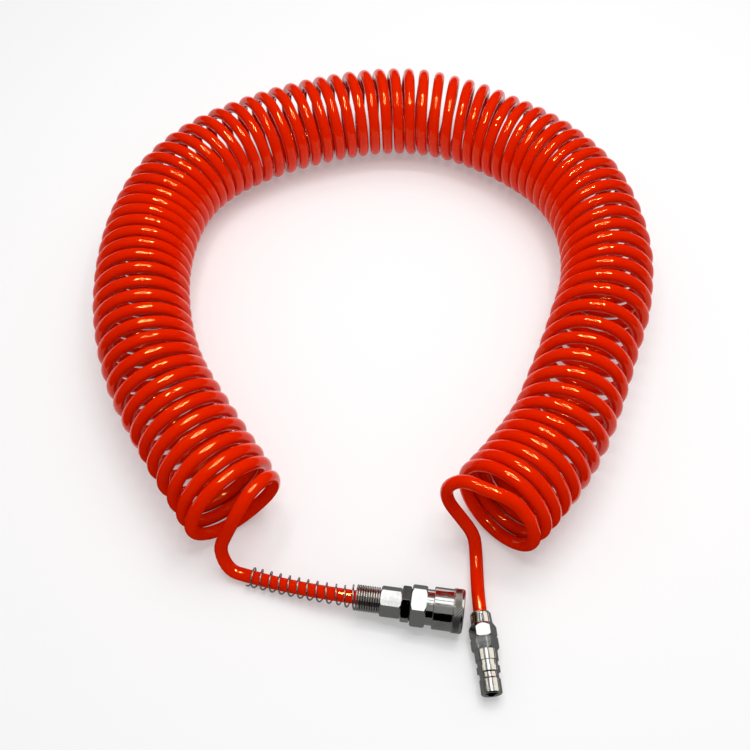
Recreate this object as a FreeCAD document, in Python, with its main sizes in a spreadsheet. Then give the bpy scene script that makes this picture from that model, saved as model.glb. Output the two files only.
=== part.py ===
import FreeCAD, Part
import math
import os

import Sketcher
from FreeCAD import Placement, Rotation, Vector

# Driving dimensions in mm. Places on the socket are measured along its axis from the mouth back towards the
# hose, places on the plug from its tip back towards the hose. Radii are half of each diameter.
SIZES = {
    "hose_radius": 4.0,
    "hose_bore_radius": 2.5,
    "socket_grip": 9.0,
    "plug_grip": 8.0,
    "coil_radius": 32.5,
    # Socket body, 22 mm across flats
    "nose_front": 0.4,
    "mouth_chamfer": 0.8,
    "mouth_edge_radius": 7.3,
    "mouth_radius": 6.9,
    "nose_radius": 8.75,
    "ring_groove_front": 1.1,
    "ring_groove_back": 2.1,
    "ring_groove_radius": 8.2,
    "mouth_end": 4.7,
    "seat_radius": 6.25,
    "seal_groove_front": 9.6,
    "seal_groove_back": 11.6,
    "seal_groove_radius": 7.85,
    "neck_front": 16.0,
    "neck_radius": 10.3,
    "lip_front": 17.2,
    "lip_back": 18.6,
    "lip_radius": 4.7,
    "chamber_radius": 8.0,
    "body_front": 21.9,
    "body_bevel_front": 22.9,
    "body_bevel_back": 29.7,
    "body_back": 30.7,
    "body_flat_radius": 11.0,
    "body_bevel_radius": 11.5,
    "body_corner_radius": 12.7,
    "hex_clearance": 16.0,
    # Locking balls, 3.175 mm, in six holes of the nose
    "ball_position": 6.6,
    "ball_radius": 1.5875,
    "ball_rest_radius": 7.15,
    "ball_hole_radius": 1.65,
    "ball_count": 6,
    # Coupling sleeve
    "sleeve_front": 0.0,
    "rim_edge_front": 0.5,
    "rim_edge_radius": 12.2,
    "rim_radius": 12.8,
    "rim_back": 6.4,
    "rim_counterbore": 10.45,
    "cone_front": 2.15,
    "cone_front_radius": 9.9425,
    "land_radius": 8.83,
    "land_back": 8.6,
    "sleeve_radius": 12.2,
    "sleeve_bore": 10.38,
    "sleeve_bevel": 17.4,
    "sleeve_bevel_radius": 11.8,
    "sleeve_back": 17.8,
    # Retaining ring and plug seal
    "ring_front": 1.15,
    "ring_back": 2.05,
    "ring_inner_radius": 8.25,
    "ring_outer_radius": 10.2,
    "ring_angle": 330.0,
    "seal_position": 10.6,
    "seal_mean_radius": 6.88,
    "seal_section_radius": 0.93,
    # Springs of the sleeve and of the valve
    "sleeve_spring_front": 9.1,
    "sleeve_spring_radius": 9.62,
    "sleeve_spring_wire": 0.42,
    "sleeve_spring_pitch": 2.12,
    "sleeve_spring_turns": 3.0,
    "valve_spring_front": 21.4,
    "valve_spring_radius": 5.9,
    "valve_spring_wire": 0.35,
    "valve_spring_pitch": 1.88,
    "valve_spring_turns": 3.0,
    # Valve poppet and its seal
    "poppet_front": 12.8,
    "poppet_bore_radius": 3.4,
    "poppet_bore_end": 18.0,
    "stem_radius": 4.5,
    "head_front": 19.6,
    "head_back": 21.0,
    "head_radius": 6.8,
    "boss_radius": 3.0,
    "boss_back": 22.0,
    "window_position": 16.4,
    "window_radius": 1.4,
    "window_count": 4,
    "valve_seal_front": 18.62,
    "valve_seal_back": 19.58,
    "valve_seal_inner": 4.55,
    "valve_seal_outer": 6.6,
    # Rear adapter, 19 mm across flats, and its gasket
    "adapter_front": 25.3,
    "cup_radius": 6.6,
    "cup_end": 27.5,
    "spigot_radius": 7.95,
    "air_radius": 3.0,
    "air_end": 38.0,
    "gasket_front": 30.72,
    "gasket_back": 31.18,
    "gasket_inner": 8.0,
    "gasket_outer": 9.3,
    "flange_front": 31.2,
    "flange_bevel_front": 31.9,
    "flange_bevel_back": 35.7,
    "flange_back": 36.4,
    "flange_flat_radius": 9.5,
    "flange_bevel_radius": 10.0,
    "flange_corner_radius": 10.97,
    "stub_radius": 6.3,
    "stub_back": 41.0,
    "barb_bore_radius": 1.6,
    "barb_root_radius": 2.15,
    "barb_radius": 2.45,
    "barb_first": 44.0,
    "barb_second": 47.0,
    "barb_back": 50.0,
    # Hose nut of the socket, 16 mm across flats, with the spigot that carries the spring collar
    "nut_front": 36.6,
    "nut_bevel_front": 37.4,
    "nut_bevel_back": 47.9,
    "nut_back": 48.7,
    "nut_flat_radius": 8.0,
    "nut_bevel_radius": 8.4,
    "nut_corner_radius": 9.24,
    "nut_thread_radius": 6.4,
    "nut_thread_end": 41.4,
    "nut_gland": 43.0,
    "nut_spigot_radius": 6.35,
    "nut_flare": 60.2,
    "nut_spigot_back": 61.2,
    "nut_flare_radius": 4.8,
    "nut_hose_radius": 4.15,
    # Bend-guard spring
    "guard_wire_radius": 0.54,
    "guard_collar_radius": 7.12,
    "guard_open_radius": 5.62,
    "guard_collar_turns": 10,
    "guard_collar_pitch": 1.42,
    "guard_near_turns": 2,
    "guard_near_pitch": 4.9,
    "guard_open_turns": 9,
    "guard_open_pitch": 5.85,
    "guard_end_turns": 1,
    "guard_end_pitch": 3.7,
    "guard_taper_turns": 1.5,
    # Plug body, 14 mm across flats
    "tip_front": 0.0,
    "tip_chamfer": 0.7,
    "tip_bore_edge": 4.55,
    "tip_bore": 3.8,
    "tip_edge_radius": 5.6,
    "tip_shoulder": 0.6,
    "plug_nose_radius": 6.1,
    "plug_nose_back": 7.9,
    "waist_radius": 5.5,
    "waist_front": 8.9,
    "waist_back": 11.6,
    "collar_radius": 6.7,
    "shoulder_front": 12.2,
    "shoulder_back": 15.2,
    "groove_radius": 5.95,
    "collar_front": 18.7,
    "plug_hex_front": 24.8,
    "plug_bevel_front": 25.6,
    "plug_bevel_back": 31.0,
    "plug_hex_back": 31.8,
    "plug_flat_radius": 7.0,
    "plug_bevel_radius": 7.35,
    "plug_corner_radius": 8.08,
    "plug_stub_radius": 5.3,
    "plug_stub_back": 36.0,
    "plug_bore_end": 30.0,
    "plug_barb_first": 38.6,
    "plug_barb_second": 41.2,
    "plug_barb_back": 43.8,
    # Hose nut of the plug, 14 mm across flats with a rounded back
    "cap_front": 32.0,
    "cap_bevel": 32.8,
    "cap_hex_back": 37.6,
    "cap_neck": 40.2,
    "cap_neck_radius": 6.35,
    "cap_shoulder": 46.2,
    "cap_shoulder_radius": 6.05,
    "cap_back": 47.3,
    "cap_back_radius": 5.2,
    "cap_thread_radius": 5.4,
    "cap_thread_end": 36.4,
    "cap_gland": 38.0,
    "hex_sides": 6,
}

# Where the plug lies: its tip, and the direction from the tip to the hose, in the frame of the socket's mouth
PLUG_TIP = Vector(20.3, -43.6, -5.15)
PLUG_HEADING = 102.7

# How far each piece is turned about its own axis, in degrees
BODY_ROLL = -1.5
FLANGE_ROLL = -36.5
NUT_ROLL = -4.8
PLUG_ROLL = -11.0
CAP_ROLL = -5.0

# The middle line of the coil seen from above, at the height of the coil's axis
COIL_HEIGHT = 19.7
COIL_ROUTE = [
    (-137.5, 37.5),
    (-178, 75),
    (-225, 137),
    (-251, 223),
    (-241, 305),
    (-178, 362),
    (-92, 399),
    (-22, 385),
    (57, 339),
    (81, 258),
    (64, 173),
    (41, 97),
    (5, 51),
]

# The hose from the socket's adapter to the coil, and from the plug to the coil
SOCKET_TAIL = [
    (-41.3, 0, 0),
    (-72.5, 0, 0),
    (-104, 3, -4.9),
    (-131, 6.9, -7.3),
    (-145, 11, -8.6),
    (-150.5, 17, 1),
    (-144, 21, 20),
    (-135, 28, 40),
    (-128, 36.5, 49.5),
    (-121.5, 46, 47.5),
    (-117.5, 54.5, 34),
    (-117, 60.5, 14),
    (-125, 61, -2),
]
PLUG_TAIL = [
    (12.2, -7.8, -5.15),
    (8.3, 9.5, -5.15),
    (5.8, 31, -8),
    (4.6, 43, -8.8),
    (2, 50, -2),
    (-6, 54.5, 9),
    (-16, 59, 22),
    (-18, 61.5, 40),
    (-9, 59, 48.6),
    (4, 54, 48.6),
    (17, 46, 45),
]
GUARD_AXIS = [(-49.3, 0, 0), (-70, 0, 0), (-100, 2.4, -4.1), (-130, 6.5, -6.55)]

# How much of the shorter run each arc of a hose uses on either side of its corner
ARC_SHARE = 0.45
# Points per winding of the guard spring, and its arcs' mean radius over the radius of those points
GUARD_STEPS = 6
GUARD_ROUNDING = 0.873

doc = FreeCAD.newDocument("coiled_air_hose")
nodes = []


def size(alias):
    """The value of one driving dimension."""
    return float(doc.sizes.get(alias))


def bind(thing, prop, alias):
    """Drives one property of an object from the sheet."""
    thing.setExpression(prop, "sizes." + alias)


def make_sheet():
    """Writes every driving dimension into the spreadsheet, one row each."""
    sheet = doc.addObject("Spreadsheet::Sheet", "sizes")
    for line, (alias, value) in enumerate(SIZES.items(), start=1):
        sheet.set("A%d" % line, alias.replace("_", " "))
        sheet.set("B%d" % line, str(value))
        sheet.setAlias("B%d" % line, alias)
    doc.recompute()


def add_node(thing, name, placement=None):
    """Labels a finished sub-part, puts it in its place and keeps it for export."""
    thing.Label = name
    if placement is not None:
        thing.Placement = placement
    nodes.append(thing)
    return thing


def on_socket(roll=0.0):
    """Placement of a socket piece: its length runs back from the mouth, along -X."""
    turned = Rotation(Vector(0, 0, 1), 180) * Rotation(Vector(1, 0, 0), roll)
    return Placement(Vector(0, 0, 0), turned)


def on_plug(roll=0.0):
    """Placement of a plug piece: its length runs from the tip to the hose."""
    turned = Rotation(Vector(0, 0, 1), PLUG_HEADING) * Rotation(Vector(1, 0, 0), roll)
    return Placement(PLUG_TIP, turned)


def new_body(name):
    return doc.addObject("PartDesign::Body", name + "_body")


def origin_feature(body, role):
    """One plane or axis of the body's own origin."""
    for feature in body.Origin.OriginFeatures:
        if feature.Role == role:
            return feature
    raise ValueError(role)


def new_sketch(body, name, role):
    sketch = body.newObject("Sketcher::SketchObject", name)
    sketch.AttachmentSupport = [(origin_feature(body, role), "")]
    sketch.MapMode = "FlatFace"
    return sketch


def pin_point(sketch, line, along, outward):
    """Fixes the start of a line at two sheet values, or on the axis where outward is None."""
    index = sketch.addConstraint(Sketcher.Constraint("DistanceX", -1, 1, line, 1, size(along)))
    sketch.setExpression("Constraints[%d]" % index, "sizes." + along)
    if outward is None:
        sketch.addConstraint(Sketcher.Constraint("PointOnObject", line, 1, -1))
        return
    index = sketch.addConstraint(Sketcher.Constraint("DistanceY", -1, 1, line, 1, size(outward)))
    sketch.setExpression("Constraints[%d]" % index, "sizes." + outward)


def closed_outline(body, name, role, corners):
    """A closed sketch of straight lines whose corners are pairs of sheet values."""
    sketch = new_sketch(body, name, role)
    points = []
    for along, outward in corners:
        radius = 0.0 if outward is None else size(outward)
        points.append(Vector(size(along), radius, 0))
    count = len(points)
    for start in range(count):
        sketch.addGeometry(Part.LineSegment(points[start], points[(start + 1) % count]))
    for start in range(count):
        sketch.addConstraint(Sketcher.Constraint("Coincident", start, 2, (start + 1) % count, 1))
    for start, (along, outward) in enumerate(corners):
        pin_point(sketch, start, along, outward)
    return sketch


def circle_outline(body, name, role, along, outward, radius):
    """A sketch of one circle, its centre at two sheet values or on the axis."""
    sketch = new_sketch(body, name, role)
    middle = 0.0 if outward is None else size(outward)
    centre = Vector(size(along), middle, 0)
    sketch.addGeometry(Part.Circle(centre, Vector(0, 0, 1), size(radius)))
    index = sketch.addConstraint(Sketcher.Constraint("Radius", 0, size(radius)))
    sketch.setExpression("Constraints[%d]" % index, "sizes." + radius)
    index = sketch.addConstraint(Sketcher.Constraint("DistanceX", -1, 1, 0, 3, size(along)))
    sketch.setExpression("Constraints[%d]" % index, "sizes." + along)
    if outward is None:
        sketch.addConstraint(Sketcher.Constraint("PointOnObject", 0, 3, -1))
        return sketch
    index = sketch.addConstraint(Sketcher.Constraint("DistanceY", -1, 1, 0, 3, size(outward)))
    sketch.setExpression("Constraints[%d]" % index, "sizes." + outward)
    return sketch


def revolve(body, name, sketch):
    """A full turn of a sketch about the piece's own length."""
    turned = body.newObject("PartDesign::Revolution", name)
    turned.Profile = sketch
    turned.ReferenceAxis = (origin_feature(body, "X_Axis"), [""])
    turned.Angle = 360.0
    body.Tip = turned
    return turned


def turned_body(name, corners):
    """A body turned on a lathe from a half outline."""
    body = new_body(name)
    revolve(body, name + "_turned", closed_outline(body, name + "_outline", "XY_Plane", corners))
    return body


def repeat_around(body, name, feature, count):
    """Repeats a cut around the piece's own length."""
    pattern = body.newObject("PartDesign::PolarPattern", name)
    pattern.Originals = [feature]
    pattern.Axis = (origin_feature(body, "X_Axis"), [""])
    pattern.Angle = 360.0
    bind(pattern, "Occurrences", count)
    body.Tip = pattern


def cut_hexagon(body, name, front, back, flat):
    """Mills six flats between two places on a turned blank."""
    corners = [(front, flat), (back, flat), (back, "hex_clearance"), (front, "hex_clearance")]
    sketch = closed_outline(body, name + "_flat_outline", "XZ_Plane", corners)
    flat_cut = body.newObject("PartDesign::Pocket", name + "_flat")
    flat_cut.Profile = sketch
    flat_cut.Type = "ThroughAll"
    flat_cut.SideType = "Symmetric"
    doc.recompute()
    repeat_around(body, name + "_flats", flat_cut, "hex_sides")


def drill_around(body, name, along, radius, count):
    """Drills evenly spaced radial holes through the wall of a turned piece."""
    sketch = circle_outline(body, name + "_outline", "XY_Plane", along, None, radius)
    hole = body.newObject("PartDesign::Pocket", name)
    hole.Profile = sketch
    hole.Type = "ThroughAll"
    hole.Reversed = True
    doc.recompute()
    repeat_around(body, name + "_set", hole, count)


def socket_body():
    body = turned_body("socket_body", [
        ("nose_front", "mouth_edge_radius"),
        ("nose_front", "nose_radius"),
        ("ring_groove_front", "nose_radius"),
        ("ring_groove_front", "ring_groove_radius"),
        ("ring_groove_back", "ring_groove_radius"),
        ("ring_groove_back", "nose_radius"),
        ("neck_front", "nose_radius"),
        ("neck_front", "neck_radius"),
        ("body_front", "neck_radius"),
        ("body_front", "body_bevel_radius"),
        ("body_bevel_front", "body_corner_radius"),
        ("body_bevel_back", "body_corner_radius"),
        ("body_back", "body_bevel_radius"),
        ("body_back", "chamber_radius"),
        ("lip_back", "chamber_radius"),
        ("lip_back", "lip_radius"),
        ("lip_front", "lip_radius"),
        ("lip_front", "seat_radius"),
        ("seal_groove_back", "seat_radius"),
        ("seal_groove_back", "seal_groove_radius"),
        ("seal_groove_front", "seal_groove_radius"),
        ("seal_groove_front", "seat_radius"),
        ("mouth_end", "seat_radius"),
        ("mouth_end", "mouth_radius"),
        ("mouth_chamfer", "mouth_radius"),
    ])
    cut_hexagon(body, "body_hexagon", "body_front", "body_back", "body_flat_radius")
    drill_around(body, "ball_hole", "ball_position", "ball_hole_radius", "ball_count")
    add_node(body, "socket_body", on_socket(BODY_ROLL))


def coupling_sleeve():
    body = turned_body("coupling_sleeve", [
        ("sleeve_front", "rim_counterbore"),
        ("sleeve_front", "rim_edge_radius"),
        ("rim_edge_front", "rim_radius"),
        ("rim_back", "rim_radius"),
        ("rim_back", "sleeve_radius"),
        ("sleeve_bevel", "sleeve_radius"),
        ("sleeve_back", "sleeve_bevel_radius"),
        ("sleeve_back", "sleeve_bore"),
        ("land_back", "sleeve_bore"),
        ("land_back", "land_radius"),
        ("ball_position", "land_radius"),
        ("cone_front", "cone_front_radius"),
        ("cone_front", "rim_counterbore"),
    ])
    add_node(body, "coupling_sleeve", on_socket())


def retaining_ring():
    body = turned_body("sleeve_retaining_ring", [
        ("ring_front", "ring_inner_radius"),
        ("ring_front", "ring_outer_radius"),
        ("ring_back", "ring_outer_radius"),
        ("ring_back", "ring_inner_radius"),
    ])
    bind(body.Tip, "Angle", "ring_angle")
    add_node(body, "sleeve_retaining_ring", on_socket())


def plug_seal():
    body = new_body("plug_seal_ring")
    sketch = circle_outline(
        body, "plug_seal_outline", "XY_Plane", "seal_position", "seal_mean_radius", "seal_section_radius"
    )
    revolve(body, "plug_seal_turned", sketch)
    add_node(body, "plug_seal_ring", on_socket())


def lock_balls():
    """Six balls in the holes of the nose, pressed in by the sleeve's cone."""
    count = int(size("ball_count"))
    for number in range(count):
        ball = doc.addObject("Part::Sphere", "ball_%d" % (number + 1))
        bind(ball, "Radius", "ball_radius")
        angle = math.radians(ball_angle(number))
        out = size("ball_rest_radius")
        place = Vector(-size("ball_position"), out * math.cos(angle), out * math.sin(angle))
        add_node(ball, "lock_ball_%d" % (number + 1), Placement(place, Rotation()))


def ball_angle(number):
    """Angle of a ball about the socket's axis, from +Y towards +Z, in degrees."""
    return 90.0 - BODY_ROLL + 360.0 / size("ball_count") * number


def coil_spring(name, front, radius, wire, pitch, turns):
    """A straight compression spring about the socket's axis."""
    body = new_body(name)
    sketch = circle_outline(body, name + "_wire", "XY_Plane", front, radius, wire)
    spring = body.newObject("PartDesign::AdditiveHelix", name + "_windings")
    spring.Profile = sketch
    spring.ReferenceAxis = (origin_feature(body, "X_Axis"), [""])
    spring.Mode = "pitch-turns-angle"
    bind(spring, "Pitch", pitch)
    bind(spring, "Turns", turns)
    body.Tip = spring
    add_node(body, name, on_socket())


def valve_poppet():
    body = turned_body("valve_poppet", [
        ("poppet_front", "poppet_bore_radius"),
        ("poppet_front", "stem_radius"),
        ("head_front", "stem_radius"),
        ("head_front", "head_radius"),
        ("head_back", "head_radius"),
        ("head_back", "boss_radius"),
        ("boss_back", "boss_radius"),
        ("boss_back", None),
        ("poppet_bore_end", None),
        ("poppet_bore_end", "poppet_bore_radius"),
    ])
    drill_around(body, "poppet_window", "window_position", "window_radius", "window_count")
    add_node(body, "valve_poppet", on_socket())


def flat_ring(name, front, back, inner, outer):
    corners = [(front, inner), (front, outer), (back, outer), (back, inner)]
    add_node(turned_body(name, corners), name, on_socket())


def rear_adapter():
    body = turned_body("socket_rear_adapter", [
        ("adapter_front", "cup_radius"),
        ("adapter_front", "spigot_radius"),
        ("flange_front", "spigot_radius"),
        ("flange_front", "flange_bevel_radius"),
        ("flange_bevel_front", "flange_corner_radius"),
        ("flange_bevel_back", "flange_corner_radius"),
        ("flange_back", "flange_bevel_radius"),
        ("flange_back", "stub_radius"),
        ("stub_back", "stub_radius"),
        ("stub_back", "barb_root_radius"),
        ("barb_first", "barb_radius"),
        ("barb_first", "barb_root_radius"),
        ("barb_second", "barb_radius"),
        ("barb_second", "barb_root_radius"),
        ("barb_back", "barb_root_radius"),
        ("barb_back", "barb_bore_radius"),
        ("air_end", "barb_bore_radius"),
        ("air_end", "air_radius"),
        ("cup_end", "air_radius"),
        ("cup_end", "cup_radius"),
    ])
    cut_hexagon(body, "flange_hexagon", "flange_front", "flange_back", "flange_flat_radius")
    add_node(body, "socket_rear_adapter", on_socket(FLANGE_ROLL))


def socket_hose_nut():
    body = turned_body("socket_hose_nut", [
        ("nut_front", "nut_thread_radius"),
        ("nut_front", "nut_bevel_radius"),
        ("nut_bevel_front", "nut_corner_radius"),
        ("nut_bevel_back", "nut_corner_radius"),
        ("nut_back", "nut_bevel_radius"),
        ("nut_back", "nut_spigot_radius"),
        ("nut_spigot_back", "nut_spigot_radius"),
        ("nut_spigot_back", "nut_flare_radius"),
        ("nut_flare", "nut_hose_radius"),
        ("nut_gland", "nut_hose_radius"),
        ("nut_thread_end", "nut_thread_radius"),
    ])
    cut_hexagon(body, "nut_hexagon", "nut_front", "nut_back", "nut_flat_radius")
    add_node(body, "socket_hose_nut", on_socket(NUT_ROLL))


def plug_body():
    body = turned_body("plug_body", [
        ("tip_front", "tip_bore_edge"),
        ("tip_front", "tip_edge_radius"),
        ("tip_shoulder", "plug_nose_radius"),
        ("plug_nose_back", "plug_nose_radius"),
        ("waist_front", "waist_radius"),
        ("waist_back", "waist_radius"),
        ("shoulder_front", "collar_radius"),
        ("shoulder_back", "collar_radius"),
        ("shoulder_back", "groove_radius"),
        ("collar_front", "groove_radius"),
        ("collar_front", "collar_radius"),
        ("plug_hex_front", "collar_radius"),
        ("plug_hex_front", "plug_bevel_radius"),
        ("plug_bevel_front", "plug_corner_radius"),
        ("plug_bevel_back", "plug_corner_radius"),
        ("plug_hex_back", "plug_bevel_radius"),
        ("plug_hex_back", "plug_stub_radius"),
        ("plug_stub_back", "plug_stub_radius"),
        ("plug_stub_back", "barb_root_radius"),
        ("plug_barb_first", "barb_radius"),
        ("plug_barb_first", "barb_root_radius"),
        ("plug_barb_second", "barb_radius"),
        ("plug_barb_second", "barb_root_radius"),
        ("plug_barb_back", "barb_root_radius"),
        ("plug_barb_back", "barb_bore_radius"),
        ("plug_bore_end", "barb_bore_radius"),
        ("plug_bore_end", "tip_bore"),
        ("tip_chamfer", "tip_bore"),
    ])
    cut_hexagon(body, "plug_hexagon", "plug_hex_front", "plug_hex_back", "plug_flat_radius")
    add_node(body, "plug_body", on_plug(PLUG_ROLL))


def plug_hose_nut():
    body = turned_body("plug_hose_nut", [
        ("cap_front", "cap_thread_radius"),
        ("cap_front", "plug_bevel_radius"),
        ("cap_bevel", "plug_corner_radius"),
        ("cap_hex_back", "plug_corner_radius"),
        ("cap_neck", "cap_neck_radius"),
        ("cap_shoulder", "cap_shoulder_radius"),
        ("cap_back", "cap_back_radius"),
        ("cap_back", "nut_hose_radius"),
        ("cap_gland", "nut_hose_radius"),
        ("cap_thread_end", "cap_thread_radius"),
    ])
    cut_hexagon(body, "cap_hexagon", "cap_front", "cap_neck", "plug_flat_radius")
    add_node(body, "plug_hose_nut", on_plug(CAP_ROLL))


def rounded_wire(name, points, report=True):
    """Straight runs joined by tangent arcs, as large as each pair of runs allows."""
    edges = []
    radii = []
    start = points[0]
    for before, corner, after in zip(points, points[1:], points[2:]):
        back = (before - corner).normalize()
        ahead = (after - corner).normalize()
        half_turn = (math.pi - back.getAngle(ahead)) / 2
        reach = ARC_SHARE * min(corner.distanceToPoint(before), corner.distanceToPoint(after))
        radius = reach / math.tan(half_turn)
        radii.append(radius)
        first = corner + back * reach
        last = corner + ahead * reach
        inward = (back + ahead).normalize()
        crown = corner + inward * (radius / math.cos(half_turn) - radius)
        edges.append(Part.LineSegment(start, first).toShape())
        edges.append(Part.Arc(first, crown, last).toShape())
        start = last
    edges.append(Part.LineSegment(start, points[-1]).toShape())
    if report:
        print(name, "arc radii", [round(radius, 1) for radius in radii])
    path = doc.addObject("Part::Feature", name + "_path")
    path.Shape = Part.Wire(edges)
    return path


def round_sweep(name, points, radius, report=True):
    """A round bar of one radius along a rounded route."""
    path = rounded_wire(name, points, report)
    section = doc.addObject("Part::Circle", name + "_section")
    bind(section, "Radius", radius)
    heading = Rotation(Vector(0, 0, 1), points[1] - points[0])
    section.Placement = Placement(points[0], heading)
    bar = doc.addObject("Part::Sweep", name + "_bar")
    bar.Sections = [section]
    bar.Spine = (path, [])
    bar.Solid = True
    bar.Frenet = False
    doc.recompute()
    expected = math.pi * size(radius) ** 2 * path.Shape.Length
    print(name, "length", round(path.Shape.Length, 1), "volume over section times length",
          round(bar.Shape.Volume / expected, 4))
    return bar


def hose_coil():
    """The outer shape of the wound hose, one thick bar along the middle line of the coil."""
    points = [Vector(across, along, COIL_HEIGHT) for across, along in COIL_ROUTE]
    add_node(round_sweep("coil", points, "coil_radius"), "hose_coil")


def hose_tail(name, route, grip):
    """A stretch of hose with its end bored for the barb it is pushed on."""
    points = [Vector(*place) for place in route]
    bar = round_sweep(name, points, "hose_radius")
    bore = doc.addObject("Part::Cylinder", name + "_bore")
    bind(bore, "Radius", "hose_bore_radius")
    bind(bore, "Height", grip)
    bore.Placement = Placement(points[0], Rotation(Vector(0, 0, 1), points[1] - points[0]))
    hose = doc.addObject("Part::Cut", name + "_hose")
    hose.Base = bar
    hose.Tool = bore
    add_node(hose, name)


def along_route(samples, distance):
    """The place on a sampled line at a distance from its start, and its heading there."""
    for start, end in zip(samples, samples[1:]):
        step = start.distanceToPoint(end)
        if distance <= step:
            break
        distance -= step
    heading = (end - start).normalize()
    return start + heading * distance, heading


def guard_spring():
    """The wire runs as a tight collar on the nut's spigot, then in open windings along the hose."""
    axis = rounded_wire("guard_axis", [Vector(*place) for place in GUARD_AXIS]).Shape
    samples = axis.discretize(Number=200)
    pitches = []
    for stretch in ("collar", "near", "open", "end"):
        steps = int(size("guard_%s_turns" % stretch)) * GUARD_STEPS
        pitches += [size("guard_%s_pitch" % stretch)] * steps
    points = []
    for step in range(len(pitches) + 1):
        turn = step / GUARD_STEPS
        opened = min(max((turn - size("guard_collar_turns")) / size("guard_taper_turns"), 0.0), 1.0)
        radius = size("guard_collar_radius") * (1 - opened) + size("guard_open_radius") * opened
        centre, heading = along_route(samples, sum(pitches[:step]) / GUARD_STEPS)
        side = Vector(0, 0, 1).cross(heading).normalize()
        up = heading.cross(side)
        angle = 2 * math.pi * turn
        reach = radius / GUARD_ROUNDING
        points.append(centre + side * (reach * math.cos(angle)) + up * (reach * math.sin(angle)))
    bar = round_sweep("guard_spring", points, "guard_wire_radius", report=False)
    add_node(bar, "bend_guard_spring")


def check_and_export():
    """Stops at the first failed object, then writes one file for each sub-part."""
    doc.recompute()
    for thing in doc.Objects:
        if "Invalid" in thing.State or "Error" in thing.State:
            raise RuntimeError("%s failed: %s" % (thing.Name, thing.State))
    os.makedirs("parts", exist_ok=True)
    for node in nodes:
        shape = node.Shape
        if shape.isNull() or not shape.isValid() or len(shape.Solids) != 1:
            raise RuntimeError("%s has no single valid solid" % node.Label)
        shape.exportStep("parts/%s.step" % node.Label)
        print(node.Label, "volume", round(shape.Volume, 1))


make_sheet()
hose_coil()
hose_tail("hose_tail_socket", SOCKET_TAIL, "socket_grip")
hose_tail("hose_tail_plug", PLUG_TAIL, "plug_grip")
guard_spring()
socket_hose_nut()
rear_adapter()
flat_ring("adapter_gasket", "gasket_front", "gasket_back", "gasket_inner", "gasket_outer")
socket_body()
plug_seal()
coupling_sleeve()
retaining_ring()
coil_spring("sleeve_spring", "sleeve_spring_front", "sleeve_spring_radius", "sleeve_spring_wire",
            "sleeve_spring_pitch", "sleeve_spring_turns")
lock_balls()
valve_poppet()
flat_ring("valve_seal_ring", "valve_seal_front", "valve_seal_back", "valve_seal_inner", "valve_seal_outer")
coil_spring("valve_spring", "valve_spring_front", "valve_spring_radius", "valve_spring_wire",
            "valve_spring_pitch", "valve_spring_turns")
plug_body()
plug_hose_nut()
check_and_export()
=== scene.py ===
import math

import bmesh
import bpy
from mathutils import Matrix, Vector


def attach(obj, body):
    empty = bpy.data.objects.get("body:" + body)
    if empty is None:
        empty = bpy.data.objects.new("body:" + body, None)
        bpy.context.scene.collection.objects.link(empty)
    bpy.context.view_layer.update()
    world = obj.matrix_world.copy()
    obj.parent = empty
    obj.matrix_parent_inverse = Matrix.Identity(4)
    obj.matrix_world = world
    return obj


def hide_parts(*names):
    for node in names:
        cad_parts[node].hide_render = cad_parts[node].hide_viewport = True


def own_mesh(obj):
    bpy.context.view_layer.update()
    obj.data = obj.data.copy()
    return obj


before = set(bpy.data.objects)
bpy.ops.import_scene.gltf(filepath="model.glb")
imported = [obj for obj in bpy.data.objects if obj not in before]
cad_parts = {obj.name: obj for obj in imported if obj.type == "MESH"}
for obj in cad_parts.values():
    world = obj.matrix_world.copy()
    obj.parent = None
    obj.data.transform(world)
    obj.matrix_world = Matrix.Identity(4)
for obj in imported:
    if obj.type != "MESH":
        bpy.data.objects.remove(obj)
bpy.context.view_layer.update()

MM = 0.001
TABLE_HEIGHT = -12.8 * MM
ROOT = "hose_and_fittings"

# The camera stands where the photographer did: places and distances in metres, lens and sensor in
# millimetres
CAMERA_PLACE = Vector((-0.0246, -0.1972, 0.5487))
CAMERA_AIM = Vector((-0.0719, 0.1430, 0.0197))
CAMERA_LENS = 46.58
SENSOR_WIDTH = 36.0
CAMERA_NEAR = 0.02
CAMERA_FAR = 50.0

# Control points of the hose's tails, each from its fitting's barb to the coil, and of the coil's
# middle line seen from above, in millimetres. By the fittings they are the source's own points, and
# elsewhere they lie up to some millimetres from those
HOSE_DIAMETER = 8.0 * MM
SOCKET_TAIL = [
    (-41.3, 0, 0),
    (-72.5, 0, 0),
    (-104, 3, -4.9),
    (-131, 6.9, -7.3),
    (-141.9, 8.4, -6.2),
    (-148.6, 16.5, 4.7),
    (-142.9, 19.2, 21.9),
    (-136.1, 21.9, 40.7),
    (-129.3, 34.9, 49.6),
    (-122.2, 47.9, 46.1),
    (-119.7, 54.3, 34.5),
    (-122.3, 55.7, 13.7),
]
PLUG_TAIL = [
    (12.2, -7.8, -5.15),
    (8.3, 9.5, -5.15),
    (5.8, 31, -8),
    (4.5, 40.7, -6.9),
    (2.2, 49.1, 0),
    (-6.4, 54.9, 8.1),
    (-16.9, 59.3, 21.6),
    (-18.4, 60.9, 37.5),
    (-8.5, 61, 48),
    (4.5, 55.7, 48.8),
]
COIL_ROUTE = [
    (-139, 35.9, 0),
    (-176.3, 76.5, 0),
    (-225.2, 136.9, 0),
    (-250.2, 223.1, 0),
    (-239.5, 304.2, 0),
    (-176.7, 360, 0),
    (-91.5, 395.6, 0),
    (-21.3, 386.8, 0),
    (56.4, 338.5, 0),
    (81.8, 258, 0),
    (63.7, 173.1, 0),
    (42.8, 96.1, 0),
    (6.3, 50, 0),
]
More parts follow.
